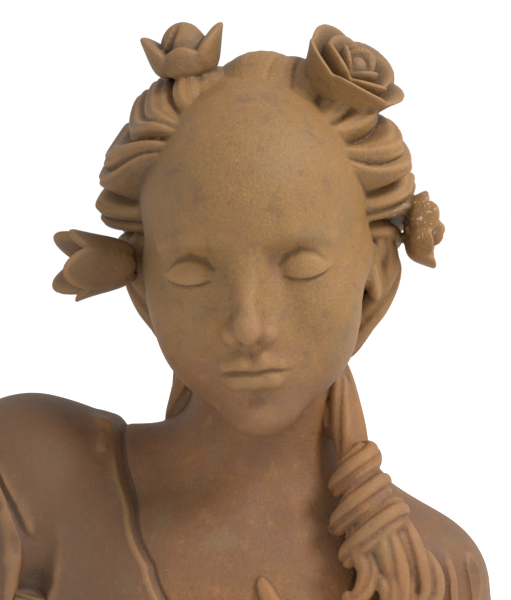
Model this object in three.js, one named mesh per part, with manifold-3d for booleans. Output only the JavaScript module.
// The head and shoulders of a rusty cast iron garden statue, cut flat below as a bust: a young woman with a
// bowed head, wavy hair combed back with four flowers in it, a twisted lock over her left shoulder
// and a loose blouse with a wide neck. It is one casting, so every form is joined into one solid.
//
// Millimetres, +Z up, +X to her left, and she faces -Y. The origin is on the flat underside, below the neck.
import * as THREE from "three";
import { mergeVertices } from "three/addons/utils/BufferGeometryUtils.js";
import Module from "manifold-3d";

// Driving sizes, in millimetres and degrees.
const headHeight = 200; // chin to crown; every place in the figure is counted in 200ths of it
const headCentreHeight = 244; // from the flat underside up to the middle of the head
const clothThickness = 4; // the blouse stands this far off the skin
const headBow = 10;
const headLean = -4;
const headTurn = -6;
const locksAround = 15; // locks of hair, counted around the face
const lockRelief = 9; // depth of the furrow between two locks, at the sides of the head

const part = headHeight / 200;
const toRadians = Math.PI / 180;

// The language of forms: how far a point is outside a form, joined and cut with soft edges.
const join = (a, b, soft) => {
  const blend = Math.max(soft - Math.abs(a - b), 0) / soft;
  return Math.min(a, b) - (blend * blend * soft) / 4;
};
const cut = (a, b, soft) => -join(-a, b, soft);
const clamp = (value, low, high) => Math.min(Math.max(value, low), high);
const ramp = (value, low, high) => {
  const t = clamp((value - low) / (high - low), 0, 1);
  return t * t * (3 - 2 * t);
};

function egg([x, y, z], [cx, cy, cz], [rx, ry, rz]) {
  const px = (x - cx) / rx;
  const py = (y - cy) / ry;
  const pz = (z - cz) / rz;
  const reach = Math.hypot(px, py, pz);
  const slope = Math.hypot(px / rx, py / ry, pz / rz);
  return slope < 1e-9 ? -Math.min(rx, ry, rz) : (reach * (reach - 1)) / slope;
}

function bone([x, y, z], [ax, ay, az], [bx, by, bz], startRadius, endRadius) {
  const dx = bx - ax;
  const dy = by - ay;
  const dz = bz - az;
  const along = (x - ax) * dx + (y - ay) * dy + (z - az) * dz;
  const t = clamp(along / (dx * dx + dy * dy + dz * dz), 0, 1);
  const gap = Math.hypot(x - ax - dx * t, y - ay - dy * t, z - az - dz * t);
  return gap - startRadius - (endRadius - startRadius) * t;
}

function chain(point, places, radii, soft) {
  let nearest = Infinity;
  for (let i = 0; i + 1 < places.length; i++) {
    const piece = bone(point, places[i], places[i + 1], radii[i], radii[i + 1]);
    nearest = i ? join(nearest, piece, soft) : piece;
  }
  return nearest;
}

// The head, in its own frame: the middle of the eye line is z 0, the ears are at y 0, the face is at -y.
// Hair grows behind a line that slants from the top of the forehead to the ears.
const hairLine = ([x, y, z]) =>
  0.83 * y + 0.56 * z + 17 - 0.0012 * x * x - 12 * (1 - ramp(Math.abs(x), 18, 54));

function skull(p, side) {
  let form = egg(p, [0, 6, 28], [68, 86, 72]);
  form = join(form, egg(p, [0, -34, 32], [54, 54, 54]), 18);
  form = join(form, egg(p, [0, -24, -18], [60, 54, 60]), 16);
  form = join(form, egg(p, [0, -34, -52], [44, 48, 41]), 18);
  form = join(form, bone(side, [38, -14, -46], [9, -64, -81], 12, 10), 24);
  form = join(form, egg(p, [0, -72, -84], [13, 15, 12.5]), 18);
  form = join(form, egg(side, [35, -56, -25], [22, 21, 20]), 18);
  form = join(form, egg(side, [31, -49, -46], [20, 21, 21]), 22);
  return join(form, bone(side, [47, -46, -14], [56, -14, -8], 9, 8), 20);
}

function browAndSockets(form, side) {
  let made = join(form, chain(side, [[8, -77, 14], [27, -76.5, 18], [44, -64, 14]], [3.5, 3.5, 3], 1), 16);
  made = cut(made, egg(side, [31, -90, 4.5], [19, 15, 8.5]), 12);
  return cut(made, egg(side, [15, -90, 0], [3.8, 10, 8]), 9);
}

function eyelids(form, side) {
  const eye = [31, -62.6, -1.5];
  const across = (side[0] - eye[0]) / 14;
  const lash = -5.8 + 3.4 * across ** 2 - 0.8 * across;
  const lower = egg(side, eye, [16, 14.6, 13.4]);
  const upper = Math.max(egg(side, eye, [18.2, 17.4, 14.8]), (lash - side[2]) * 0.85);
  const crease = [[17, -77, 0], [22, -79.5, 6.4], [31, -81.5, 10], [40, -78.5, 8], [47, -71, 1.5]];
  let made = join(form, lower, 7);
  made = join(made, upper, 1);
  return cut(made, chain(side, crease, [0.6, 1.1, 1.3, 1.2, 0.6], 1), 2.6);
}

function nose(form, p, side) {
  let made = join(form, bone(side, [4.5, -74, 2], [9, -81, -28], 6, 8), 12);
  made = join(made, bone(p, [0, -79, 9], [0, -96, -24], 5.2, 6.2), 8);
  made = join(made, egg(p, [0, -97.5, -29.5], [7.4, 8.4, 6.8]), 6);
  made = join(made, egg(side, [10.2, -89, -32.5], [5.6, 8, 5.6]), 5);
  made = join(made, bone(p, [0, -90, -38], [0, -98.6, -34.5], 3, 2.6), 3);
  return cut(made, egg(side, [5.4, -95, -40], [2.6, 4.6, 3]), 1.8);
}

function mouth(form, p, side) {
  const upperLip = [[0, -87.4, -51.6], [5.5, -88, -50.4], [14, -84, -52.2], [22.5, -77, -55]];
  const lowerLip = [[0, -85.6, -60], [9, -84.4, -59.6], [21, -77.4, -56.8]];
  const parting = [[0, -96, -56.2], [6, -95, -55.2], [14, -90, -55.8], [23.5, -80, -57.2]];
  let made = join(form, egg(p, [0, -67, -53], [28, 23, 23]), 14);
  made = join(made, chain(side, upperLip, [5.6, 5.6, 4.8, 1.8], 0.5), 3.4);
  made = join(made, chain(side, lowerLip, [7.2, 6.8, 2.2], 0.5), 3.6);
  made = cut(made, chain(side, parting, [0.7, 0.7, 0.6, 0.3], 0.5), 2);
  made = cut(made, bone(p, [0, -93.4, -41], [0, -95, -46], 1.2, 1.4), 4);
  return cut(made, bone(side, [0, -89.6, -72], [9, -86.8, -71], 2.6, 1.8), 10);
}

function headField(p) {
  const side = [Math.abs(p[0]), p[1], p[2]];
  const form = eyelids(browAndSockets(skull(p, side), side), side);
  const underHair = 9 * ramp(hairLine(p), 12, 34);
  return mouth(nose(form, p, side), p, side) + underHair;
}

// Neck and shoulders, in 200ths of the head, standing on the flat underside.
const NOTCH = [6, -38, 92];
const SHOULDERS = 96;
const NECK = 148; // as carved, from the top of the shoulders to the middle of the head

// What is above the shoulders keeps its share of the way up to the head, however high that is set.
const lift = ([x, y, z]) => {
  const stretch = (headCentreHeight / part - SHOULDERS) / NECK;
  return [x, y, z < SHOULDERS ? z : SHOULDERS + (z - SHOULDERS) * stretch];
};

function body(p) {
  let form = egg(p, [-18, 6, 12], [128, 58, 92]);
  form = join(form, egg(p, [-16, 38, 36], [112, 46, 84]), 24);
  form = join(form, chain(p, [[-138, 18, 98], [-146, 14, 40], [-150, 10, -30]], [50, 47, 46], 10), 26);
  form = join(form, chain(p, [[93, 22, 34], [99, 18, -30]], [40, 41], 10), 26);
  form = join(form, bone(p, [-20, 34, 110], [-100, 26, 106], 25, 24), 24);
  form = join(form, bone(p, [28, 34, 92], [84, 26, 44], 24, 24), 24);
  form = join(form, bone(p, lift([0, 12, 190]), [4, 30, SHOULDERS], 41, 45), 28);
  return cut(form, egg(p, NOTCH, [5, 5, 6]), 16);
}

const cloth = (p) => body(p) - clothThickness / part;

// Skins: a sphere whose vertices slide along rays until they meet a form.
const fromAngles = (azimuth, polar) => [
  Math.sin(azimuth) * Math.sin(polar),
  -Math.cos(azimuth) * Math.sin(polar),
  Math.cos(polar),
];

// How far along a ray the surface is, walking from one reach towards another until it is crossed.
function rayReach(field, centre, ray, from, to) {
  const isOutside = (reach) => field(centre.map((c, axis) => c + ray[axis] * reach)) > 0;
  const startsOutside = isOutside(from);
  const step = 2.5 * Math.sign(to - from);
  let here = from;
  while (Math.abs(to - here) > 2.5 && isOutside(here + step) === startsOutside) here += step;
  let there = here + step;
  for (let i = 0; i < 16; i++) {
    const middle = (here + there) / 2;
    if (isOutside(middle) === startsOutside) here = middle;
    else there = middle;
  }
  return here;
}

// The face and the bare skull: rays from one centre, crowded towards the face in front.
function headSkin(columns, rows) {
  const CENTRE = [0, -6, 14];
  const sphere = new THREE.SphereGeometry(1, columns, rows);
  const places = sphere.getAttribute("position");
  const uv = sphere.getAttribute("uv");
  const level = 2 * Math.PI * 0.6;
  for (let i = 0; i < places.count; i++) {
    const around = 2 * Math.PI * uv.getX(i) - Math.PI;
    const down = 1 - uv.getY(i);
    const azimuth = around - 0.62 * Math.sin(around);
    const polar = Math.PI * down - 0.28 * (Math.sin(2 * Math.PI * down - level) + Math.sin(level));
    const ray = fromAngles(azimuth, polar);
    const reach = rayReach(headField, CENTRE, ray, 160, 0);
    places.setXYZ(i, ...CENTRE.map((c, axis) => (c + ray[axis] * reach) * part));
  }
  return sphere;
}

// Neck and trunk: each row of rays leaves the axis at its own height and slope, level at the neck and
// the flanks and rising over the shoulders.
const ROWS = [
  [190, 90], [190, 30], [179, 4], [164, 0], [149, 1], [136, 6], [122, 16], [108, 26], [95, 33], [84, 37],
  [72, 37], [60, 34], [48, 27], [38, 16], [28, 4], [18, -12], [6, -40], [0, -90],
];

function bodySkin(field, columns) {
  const sphere = new THREE.SphereGeometry(1, columns, ROWS.length - 1);
  const places = sphere.getAttribute("position");
  const uv = sphere.getAttribute("uv");
  for (let i = 0; i < places.count; i++) {
    const around = 2 * Math.PI * uv.getX(i) - Math.PI;
    const [height, slope] = ROWS[Math.round((1 - uv.getY(i)) * (ROWS.length - 1))];
    const centre = lift([-3, 19, height]);
    const ray = fromAngles(around - 0.25 * Math.sin(around), (90 - slope) * toRadians);
    const reach = rayReach(field, centre, ray, 10, 230);
    places.setXYZ(i, ...centre.map((c, axis) => (c + ray[axis] * reach) * part));
  }
  return sphere;
}

// The hair: a sphere with one pole in the face and one at the back of the head. Its meridians are the
// locks and the furrows between them, so they leave the face squarely and meet at the back.
const HAIR_MIDDLE = [0, 8, 24];
const HAIR_REACH = [96, 95, 88];
const PARTING = -10; // degrees from the top, towards her right
const POLE_TILT = 18; // the pole at the back lies this far below level
const NAPE = -78;

const hairReach = (ray) => 1 / Math.hypot(...ray.map((value, axis) => value / HAIR_REACH[axis]));

function hairPlace(across, polar) {
  const lockAt = across * locksAround;
  const inLock = lockAt - Math.floor(lockAt);
  const crest = (1 - (2 * inLock - 1) ** 2) ** 0.6;
  const straight = PARTING + 360 * across;
  const aside = Math.abs(Math.sin(straight * toRadians));
  const beat = 360 * ((polar - 52) / 66) + 3 * (90 - 90 * aside);
  const wave = 8 * Math.sin(straight * toRadians) * Math.sin(beat * toRadians) * ramp(180 - polar, 0, 50);
  const around = (straight + wave) * toRadians;
  const down = polar * toRadians;
  const level = [Math.sin(down) * Math.sin(around), -Math.cos(down), Math.sin(down) * Math.cos(around)];
  const tilt = POLE_TILT * toRadians;
  const ray = [
    level[0],
    level[1] * Math.cos(tilt) + level[2] * Math.sin(tilt),
    level[2] * Math.cos(tilt) - level[1] * Math.sin(tilt),
  ];
  const full = hairReach(ray);
  const top = HAIR_MIDDLE.map((c, axis) => c + ray[axis] * full);
  const relief = (0.15 + 0.85 * aside) * (lockRelief / part);
  const swell = 2.4 * aside * Math.sin((beat * 1.4 + 90 * Math.floor(lockAt)) * toRadians);
  const onset = hairLine(top) + 8 * (crest - 0.7) * aside;
  const cover = ramp(onset, -8 - 16 * (1 - aside), 20 + 22 * (1 - aside)) ** 0.5;
  const low = ramp(top[2], NAPE - 14, NAPE + 22);
  const combed = 7 * (1 - aside) * (1 - ramp(onset, 5, 75));
  const reach = (full - relief * (1 - crest) + swell - combed) * (0.55 + 0.45 * Math.min(cover, low));
  return HAIR_MIDDLE.map((c, axis) => (c + ray[axis] * reach) * part);
}

function hair(perLock, rows) {
  const sphere = new THREE.SphereGeometry(1, locksAround * perLock, rows);
  const places = sphere.getAttribute("position");
  const uv = sphere.getAttribute("uv");
  for (let i = 0; i < places.count; i++) {
    const row = Math.round((1 - uv.getY(i)) * rows);
    const polar = row === 0 ? 0 : 36 + (144 * (row - 1)) / (rows - 1);
    const across = row === 0 || row === rows ? 0 : (1 - uv.getX(i)) % 1;
    places.setXYZ(i, ...hairPlace(across, polar));
  }
  return sphere;
}

// Locks: a sphere stretched along a curve, so that both ends close to a point.
const curveThrough = (places) =>
  new THREE.CatmullRomCurve3(places.map((place) => new THREE.Vector3(...place).multiplyScalar(part)));

const PLAIN = { turnsAt: () => 0, lobes: 1, furrow: 0 };

function lock(curve, radiusAt, sides, steps, { turnsAt, lobes, furrow } = PLAIN) {
  const sphere = new THREE.SphereGeometry(1, sides, steps);
  const places = sphere.getAttribute("position");
  const uv = sphere.getAttribute("uv");
  for (let i = 0; i < places.count; i++) {
    const step = Math.round((1 - uv.getY(i)) * steps);
    const t = step / steps;
    const across = step === 0 || step === steps ? 0 : uv.getX(i) % 1;
    const angle = 2 * Math.PI * (across + turnsAt(t));
    const centre = curve.getPoint(t);
    const tangent = curve.getTangent(t);
    const up = new THREE.Vector3(0, -1, 0);
    up.addScaledVector(tangent, -up.dot(tangent)).normalize();
    const aside = new THREE.Vector3().crossVectors(up, tangent);
    const crest = Math.abs(Math.cos(Math.PI * lobes * across));
    const radius = step === 0 || step === steps ? 0 : radiusAt(t) * (1 - furrow * (1 - crest) ** 2);
    centre.addScaledVector(aside, -Math.cos(angle) * radius).addScaledVector(up, Math.sin(angle) * radius);
    places.setXYZ(i, centre.x, centre.y, centre.z);
  }
  return sphere;
}

const rounded = (size) => (t) => part * size * Math.sin(Math.PI * clamp(t, 0.12, 0.88)) ** 0.5;

// The twisted lock runs from the knot at the back, around her left side, and down over the chest.
const TWIST = curveThrough([
  [14, 92, 246],
  [24, 80, 222],
  [30, 63, 202],
  [37, 46, 187],
  [43, 28, 172],
  [46, 10, 156],
  [50, -5, 136],
  [55, -18, 112],
  [61, -32, 92],
  [69, -42, 72],
  [78, -46, 50],
  [85, -47, 26],
  [90, -47, -14],
].map(lift));
const STRANDS = 2;
const twistRadius = (t) => part * (8.5 + 7 * ramp(t, 0.34, 0.54) - 4 * ramp(t, 0.86, 1));
const twistTurns = (t) => -0.7 * t - 1.5 * ramp(t, 0.3, 1.05);

const twistedLock = () =>
  lock(TWIST, twistRadius, 4 * STRANDS, 24, { turnsAt: twistTurns, lobes: STRANDS, furrow: 0.42 });

const CURL_ENDS = [
  { places: [[66, -52, 70], [64, -58, 56], [68, -60, 44], [74, -58, 34], [72, -58, 24]], size: 6.5 },
  { places: [[84, -46, 78], [92, -50, 62], [94, -54, 44], [88, -58, 32], [92, -56, 20]], size: 6 },
  { places: [[78, -54, 60], [82, -62, 42], [78, -62, 26], [84, -58, 8], [88, -54, -10]], size: 7 },
];
const curlEnds = () => CURL_ENDS.map(({ places, size }) => lock(curveThrough(places), rounded(size), 5, 7));

// The knot of hair that the locks run into at the back, in the frame of the head.
function knot() {
  const back = HAIR_MIDDLE[1] + HAIR_REACH[1] - 5;
  const ball = new THREE.SphereGeometry(1, 14, 6);
  const places = ball.getAttribute("position");
  const uv = ball.getAttribute("uv");
  for (let i = 0; i < places.count; i++) {
    const down = 1 - uv.getY(i);
    const angle = 2 * Math.PI * (uv.getX(i) + 0.45 * down);
    const crest = Math.abs(Math.cos(4 * Math.PI * uv.getX(i)));
    const radius = part * 27 * Math.sin(Math.PI * down) * (1 - 0.3 * (1 - crest) ** 2);
    const outward = part * 15 * Math.cos(Math.PI * down);
    places.setXYZ(i, Math.cos(angle) * radius, back * part + outward, -8 * part - Math.sin(angle) * radius);
  }
  return ball;
}

// A wisp on her right shoulder, and a lock down each side of the neck.
const LOOSE_HAIR = [
  { places: [[-40, 28, 190], [-49, 32, 166], [-52, 34, 148], [-68, 36, 128]], size: 9 },
  { places: [[-64, 16, 252], [-66, 18, 222], [-56, 22, 196], [-36, 24, 164]], size: 13 },
  { places: [[66, 20, 248], [66, 22, 220], [56, 26, 196], [36, 28, 166]], size: 13 },
];
const looseHair = () =>
  LOOSE_HAIR.map(({ places, size }) => lock(curveThrough(places.map(lift)), rounded(size), 6, 5));

function ear(side) {
  const lobe = new THREE.SphereGeometry(1, 6, 4);
  lobe.scale(6 * part, 10 * part, 19 * part);
  return lobe.rotateY(side * -0.16).translate(side * 66 * part, -3 * part, -20 * part);
}

// Flowers, opening along +Z. A cup of petals is one piece: up the outside, over the scalloped rim and
// down the inside. Each row is its climb, its share of the wall taken off, and how far it opens.
const CUP_ROWS = [
  [0, 0, 0],
  [0.1, 0, 0.1],
  [0.6, 0, 0.62],
  [1, 0.2, 1],
  [0.96, 1, 0.92],
  [0.5, 1, 0.5],
  [0.3, 1, 0],
];

function petals({ count, foot, mouth, height, wall, notch, turn = 0, rise = 0 }) {
  const last = CUP_ROWS.length - 1;
  const sphere = new THREE.SphereGeometry(1, count * 4, last);
  const places = sphere.getAttribute("position");
  const uv = sphere.getAttribute("uv");
  for (let i = 0; i < places.count; i++) {
    const row = Math.round((1 - uv.getY(i)) * last);
    const [climb, thinned, opened] = CUP_ROWS[row];
    const across = row === 0 || row === last ? 0 : uv.getX(i) % 1;
    const angle = 2 * Math.PI * across + turn * toRadians;
    const between = (1 - Math.abs(Math.cos(Math.PI * count * across))) ** 2;
    const side = row === 0 || row === last ? 0 : foot + (mouth - foot) * opened - wall * thinned;
    const radius = side * (1 - 0.22 * between * climb);
    const up = rise + height * climb * (1 - notch * between * climb);
    places.setXYZ(i, Math.sin(angle) * radius * part, Math.cos(angle) * radius * part, up * part);
  }
  return sphere;
}

function flower({ cups, core }) {
  const heart = new THREE.SphereGeometry(1, 7, 5);
  heart.rotateX(Math.PI / 2);
  heart.scale(core.radius * part, core.radius * part, (core.height * part) / 2);
  heart.translate(0, 0, (core.height * part) / 2 - 4 * part);
  return [...cups.map(petals), heart];
}

const ROSE = {
  cups: [
    { count: 5, foot: 12, mouth: 27, height: 30, wall: 5, notch: 0.3, turn: 20, rise: -4 },
    { count: 3, foot: 8, mouth: 17, height: 28, wall: 4, notch: 0.25, turn: 50, rise: 1 },
  ],
  core: { radius: 8, height: 32 },
};
const BUD = {
  cups: [{ count: 4, foot: 11, mouth: 23, height: 29, wall: 5, notch: 0.5, turn: 0, rise: -4 }],
  core: { radius: 13, height: 33 },
};
const LILY = {
  cups: [{ count: 5, foot: 9, mouth: 23, height: 54, wall: 5, notch: 0.4, turn: 18, rise: -6 }],
  core: { radius: 12, height: 44 },
};
const FLAT_ROSE = {
  cups: [
    { count: 5, foot: 11, mouth: 21, height: 19, wall: 5, notch: 0.3, turn: 0, rise: -3 },
    { count: 3, foot: 7, mouth: 14, height: 20, wall: 4, notch: 0.25, turn: 30, rise: 0 },
  ],
  core: { radius: 7, height: 24 },
};

// Each flower stands on the hair, in the frame of the head: the way to it from the middle of the hair, how
// deep its foot is set into the locks, and the way it opens.
const FLOWERS = [
  { form: BUD, stands: [-0.39, -0.05, 0.92], set: 3, opens: [-0.04, 0.06, 1] },
  { form: ROSE, stands: [0.72, 0.02, 0.69], set: 11, opens: [0.68, -0.06, 0.73] },
  { form: LILY, stands: [-0.9, -0.28, -0.34], set: 15, opens: [-0.97, -0.23, 0.07] },
  { form: FLAT_ROSE, stands: [0.96, 0.01, -0.27], set: 7, opens: [0.96, 0.25, -0.09] },
];

function flowers() {
  const up = new THREE.Vector3(0, 0, 1);
  return FLOWERS.flatMap(({ form, stands, set, opens }) => {
    const way = new THREE.Vector3(...stands).normalize();
    const foot = new THREE.Vector3(...HAIR_MIDDLE).addScaledVector(way, hairReach(way.toArray()) - set);
    const turn = new THREE.Quaternion().setFromUnitVectors(up, new THREE.Vector3(...opens).normalize());
    const place = new THREE.Matrix4().compose(foot.multiplyScalar(part), turn, new THREE.Vector3(1, 1, 1));
    return flower(form).map((shape) => shape.applyMatrix4(place));
  });
}

// The neckline is cut from the blouse by a wide tube that rises in front of the chest and bends back
// over the shoulders; creases are cut from the sleeves, and a small turned-up flap stands at the front.
const OPENING = curveThrough([
  [6, -84, -60],
  [2, -76, 20],
  [-4, -44, 100],
  [-6, 10, 150],
  [-2, 100, 150],
  [0, 170, 140],
]);
const openingRadius = (t) => part * (48 + 34 * ramp(t, 0.12, 0.5) - 10 * ramp(t, 0.62, 0.8));

// The turned-up corner of the blouse at the front.
const flap = () =>
  lock(curveThrough([[-5, -42, 55], [2, -49, 42], [12, -54, 22], [20, -56, -14]]), rounded(9), 5, 5);

const CREASES = [
  { places: [[-170, -22, 100], [-158, -34, 78], [-148, -38, 52], [-146, -36, 0]], size: 3 },
  { places: [[-128, -36, 92], [-128, -40, 64], [-134, -39, 36], [-148, -34, -10]], size: 9 },
  { places: [[-106, -50, 84], [-116, -48, 60], [-124, -45, 24]], size: 5 },
  { places: [[98, -18, 74], [108, -26, 44], [108, -28, -6]], size: 4 },
  { places: [[-120, 60, 96], [-60, 82, 62], [-10, 88, 20]], size: 5 },
  { places: [[90, 58, 60], [50, 80, 40], [10, 90, 0]], size: 5 },
];

// One casting: everything joined, and the foot cut flat.
const wasm = await Module();
wasm.setup();

function solidOf(geometry) {
  geometry.deleteAttribute("normal");
  geometry.deleteAttribute("uv");
  const merged = mergeVertices(geometry, 1e-3);
  return new wasm.Manifold(
    new wasm.Mesh({
      numProp: 3,
      vertProperties: merged.getAttribute("position").array,
      triVerts: new Uint32Array(merged.index.array),
    }),
  );
}

function geometryOf(solid) {
  const mesh = solid.getMesh();
  return new THREE.BufferGeometry()
    .setAttribute("position", new THREE.BufferAttribute(mesh.vertProperties, 3))
    .setIndex(new THREE.BufferAttribute(mesh.triVerts, 1))
    .toNonIndexed();
}

function blouse() {
  let made = solidOf(bodySkin(cloth, 32)).subtract(solidOf(lock(OPENING, openingRadius, 18, 10)));
  for (const { places, size } of CREASES) {
    made = made.subtract(solidOf(lock(curveThrough(places), rounded(size), 6, 5)));
  }
  return made;
}

const headPlace = new THREE.Matrix4()
  .makeTranslation(-2 * part, 0, headCentreHeight)
  .multiply(new THREE.Matrix4().makeRotationZ(headTurn * toRadians))
  .multiply(new THREE.Matrix4().makeRotationY(headLean * toRadians))
  .multiply(new THREE.Matrix4().makeRotationX(headBow * toRadians));

const head = [headSkin(40, 29), hair(4, 14), knot(), ear(-1), ear(1), ...flowers()];
const onHead = head.map((form) => form.applyMatrix4(headPlace));
const loose = [twistedLock(), ...curlEnds(), ...looseHair(), flap()];
const forms = [bodySkin(body, 33), ...onHead, ...loose];
const joined = forms.map(solidOf).reduce((whole, form) => whole.add(form), blouse());

const WASTE = 400 * part;
const underside = new THREE.BoxGeometry(2 * WASTE, 2 * WASTE, WASTE).translate(0, 0, -WASTE / 2);
const bust = joined.subtract(solidOf(underside));

const rustyIron = new THREE.MeshStandardMaterial({ color: 0x8a6240, roughness: 0.8, metalness: 0.2 });
const casting = new THREE.Mesh(geometryOf(bust), rustyIron);
casting.name = "bust";

const statue = new THREE.Group();
statue.add(casting);
export default statue;
